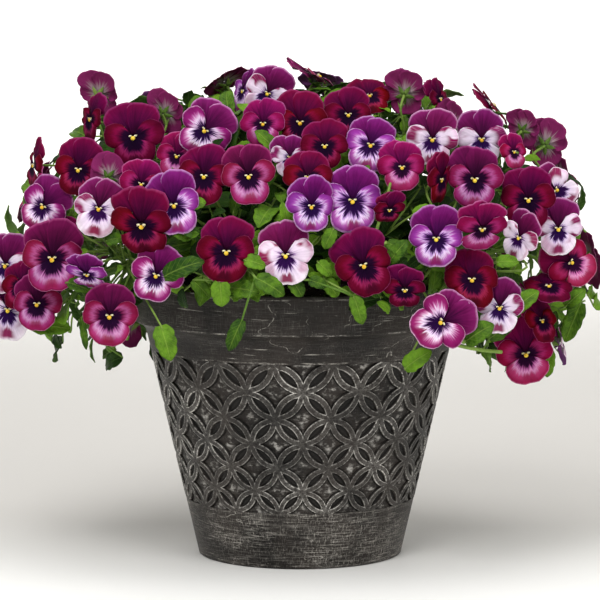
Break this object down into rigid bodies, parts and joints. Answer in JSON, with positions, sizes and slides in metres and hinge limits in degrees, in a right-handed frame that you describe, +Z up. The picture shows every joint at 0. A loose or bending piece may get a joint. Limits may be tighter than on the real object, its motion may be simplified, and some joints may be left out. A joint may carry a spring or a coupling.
{
  "type": "potted pansy planter",
  "caption": "Round mound of claret, rose, violet and white pansies in a tapered resin pot with a lattice of overlapping circles under a plain rolled rim.",
  "frame": {"origin": "centre of the pot's flat foot, where it rests", "axes": "+Z up along the pot's axis, front towards -Y, +X to the right seen from the front"},
  "size_m": [0.5551, 0.4219, 0.4454],
  "materials": {
    "pot_resin": "satin",
    "potting_mix": "matte",
    "foliage": "satin",
    "claret_petals": "matte",
    "pale_petals": "matte"
  },
  "bodies": {
    "root": {"pot": "pot_resin", "potting_mix": "potting_mix", "leafy_stem_01": "foliage", "leafy_stem_02": "foliage", "leafy_stem_03": "foliage", "leafy_stem_04": "foliage", "leafy_stem_05": "foliage", "leafy_stem_06": "foliage", "leafy_stem_07": "foliage", "leafy_stem_08": "foliage", "leafy_stem_09": "foliage", "leafy_stem_10": "foliage", "leafy_stem_11": "foliage", "leafy_stem_12": "foliage", "leafy_stem_13": "foliage", "leafy_stem_14": "foliage", "leafy_stem_15": "foliage", "leafy_stem_16": "foliage", "leafy_stem_17": "foliage", "leafy_stem_18": "foliage", "claret_blooms_01": "claret_petals", "claret_blooms_02": "claret_petals", "claret_blooms_03": "claret_petals", "claret_blooms_04": "claret_petals", "claret_blooms_05": "claret_petals", "claret_blooms_06": "claret_petals", "claret_blooms_07": "claret_petals", "claret_blooms_08": "claret_petals", "claret_blooms_09": "claret_petals", "claret_blooms_10": "claret_petals", "claret_blooms_11": "claret_petals", "claret_blooms_12": "claret_petals", "claret_blooms_13": "claret_petals", "claret_blooms_14": "claret_petals", "claret_blooms_15": "claret_petals", "claret_blooms_16": "claret_petals", "claret_blooms_17": "claret_petals", "claret_blooms_18": "claret_petals", "pale_blooms_01": "pale_petals", "pale_blooms_02": "pale_petals", "pale_blooms_03": "pale_petals", "pale_blooms_04": "pale_petals", "pale_blooms_05": "pale_petals", "pale_blooms_06": "pale_petals", "pale_blooms_07": "pale_petals", "pale_blooms_08": "pale_petals", "pale_blooms_10": "pale_petals", "pale_blooms_11": "pale_petals", "pale_blooms_12": "pale_petals", "pale_blooms_13": "pale_petals", "pale_blooms_14": "pale_petals", "pale_blooms_15": "pale_petals", "pale_blooms_16": "pale_petals", "pale_blooms_17": "pale_petals", "pale_blooms_18": "pale_petals"}
  },
  "joints": []
}
